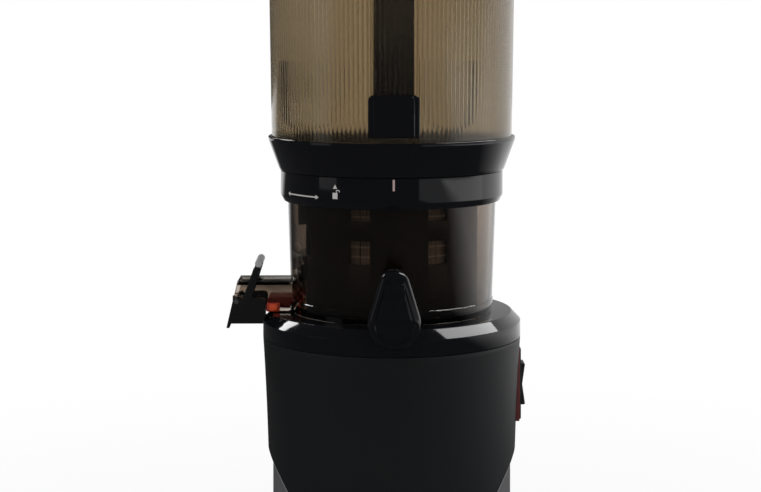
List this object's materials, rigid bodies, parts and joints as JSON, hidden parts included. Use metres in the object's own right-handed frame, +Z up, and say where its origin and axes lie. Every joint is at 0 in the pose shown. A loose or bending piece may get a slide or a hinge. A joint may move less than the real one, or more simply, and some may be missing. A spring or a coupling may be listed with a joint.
{
  "type": "cold press juicer",
  "caption": "Upright cold press juicer: round motor base, smoked juicing drum with capped spout and pulp outlet, and a tall lidded hopper.",
  "frame": {"origin": "on the drive axis at the surface that the foot ring stands on", "axes": "+Z up the drive axis, -Y towards the juice spout, -X towards the pulp outlet"},
  "size_m": [0.1925, 0.1857, 0.471],
  "materials": {
    "rubber_black": "matt",
    "charcoal_shell": "matt charcoal",
    "grey_lower": "matt mid grey",
    "pale_seam": "pale grey line",
    "gloss_black": "high gloss black",
    "black_plastic": "satin black",
    "smoked_hopper": "smoked brown clear plastic",
    "smoked_drum": "smoked grey-brown clear plastic",
    "light_grip": "light grey",
    "orange_silicone": "orange-red silicone",
    "clear_silicone": "grey silicone",
    "screw_plastic": "dark, fine grained",
    "strainer_metal": "fine slotted sheet",
    "steel": "turned steel",
    "bearing_bronze": "sintered bronze",
    "motor_iron": "laminated iron",
    "bracket_metal": "die cast",
    "winding_copper": "varnished copper wire",
    "board_green": "circuit board",
    "switch_red": "red edge"
  },
  "bodies": {
    "base": {"foot_ring": "rubber_black", "bottom_cover": "grey_lower", "lower_body": "grey_lower", "base_shell": "charcoal_shell", "seam_trim": "pale_seam", "top_ring": "gloss_black", "shaft_seal": "clear_silicone", "base_screws": "steel", "motor_brackets": "bracket_metal", "motor_bearings": "bearing_bronze", "motor_posts": "steel", "motor_stator": "motor_iron", "stator_windings": "winding_copper", "gearbox_mounts": "rubber_black", "gearbox_housing": "black_plastic", "gearbox_cover": "black_plastic", "output_bearings": "bearing_bronze", "idler_bearings": "bearing_bronze", "control_board": "board_green", "switch_bezel": "black_plastic", "switch_trim": "switch_red", "switch_case": "black_plastic", "cord_gland": "black_plastic"},
    "motor": {"motor_shaft": "steel", "motor_rotor": "motor_iron", "cooling_fan": "black_plastic"},
    "idler": {"idler_wheel": "steel", "idler_pinion": "steel"},
    "drive": {"output_gear": "steel", "drive_shaft": "steel"},
    "rocker": {"power_rocker": "black_plastic"},
    "drum": {"drum_bowl": "smoked_drum", "drum_seal": "clear_silicone", "strainer_frame": "black_plastic", "fine_strainer": "strainer_metal", "strainer_keys": "black_plastic", "juice_spout": "smoked_drum", "cap_hinge_pin": "steel", "pulp_outlet": "smoked_drum", "pulp_seal": "orange_silicone", "gate_pivot_pins": "steel"},
    "screw": {"pressing_screw": "screw_plastic", "slicing_wing": "screw_plastic"},
    "juice_cap": {"juice_cap": "gloss_black", "cap_seal": "clear_silicone"},
    "pulp_gate": {"pulp_gate": "black_plastic", "gate_lever": "black_plastic", "lever_grip": "light_grip"},
    "hopper": {"hopper_wall": "smoked_hopper", "hopper_collar": "gloss_black", "lock_ring": "gloss_black", "bowl_gasket": "clear_silicone", "sensor_column": "smoked_hopper", "column_bracket": "gloss_black", "hinge_bracket": "gloss_black", "hinge_pin": "steel"},
    "interlock": {"interlock_rod": "black_plastic"},
    "lid": {"lid_frame": "gloss_black", "lid_window": "smoked_hopper", "lid_seal": "clear_silicone"}
  },
  "joints": [
    {"name": "drive_spin", "type": "hinge", "parent": "base", "child": "drive", "pos_m": [0, 0, 0.14], "axis": [0, 0, 1], "continuous": true},
    {"name": "idler_spin", "type": "hinge", "parent": "base", "child": "idler", "pos_m": [-0.0375, 0, 0.13], "axis": [0, 0, 1], "continuous": true},
    {"name": "motor_spin", "type": "hinge", "parent": "base", "child": "motor", "pos_m": [0, 0, 0.06], "axis": [0, 0, 1], "continuous": true},
    {"name": "power_rocker", "type": "hinge", "parent": "base", "child": "rocker", "pos_m": [0.0775, 0, 0.1399], "axis": [0, 1, 0], "range_deg": [-10, 10]},
    {"name": "drum_lift", "type": "slide", "parent": "base", "child": "drum", "axis": [0, 0, 1], "range_m": [0, 0.06]},
    {"name": "screw_spin", "type": "hinge", "parent": "drum", "child": "screw", "pos_m": [0, 0, 0.22], "axis": [0, 0, 1], "continuous": true},
    {"name": "juice_cap_hinge", "type": "hinge", "parent": "drum", "child": "juice_cap", "pos_m": [0, -0.0885, 0.219], "axis": [-1, 0, 0], "range_deg": [0, 95]},
    {"name": "pulp_lever", "type": "hinge", "parent": "drum", "child": "pulp_gate", "pos_m": [-0.0999, 0, 0.195], "axis": [0, 1, 0], "range_deg": [0, 24]},
    {"name": "hopper_turn", "type": "hinge", "parent": "drum", "child": "hopper", "pos_m": [0, 0, 0.27], "axis": [0, 0, 1], "range_deg": [0, 30]},
    {"name": "lid_hinge", "type": "hinge", "parent": "hopper", "child": "lid", "pos_m": [0, 0.0855, 0.461], "axis": [-1, 0, 0], "range_deg": [0, 105]},
    {"name": "interlock_rise", "type": "slide", "parent": "hopper", "child": "interlock", "axis": [0, 0, 1], "range_m": [0, 0.004]}
  ],
  "couplings": [
    {"joint": "idler_spin", "follows": "drive_spin", "ratio": -4},
    {"joint": "motor_spin", "follows": "drive_spin", "ratio": 16},
    {"joint": "screw_spin", "follows": "drive_spin", "ratio": 1},
    {"joint": "interlock_rise", "follows": "lid_hinge", "m_per_rad": 0.0017}
  ]
}
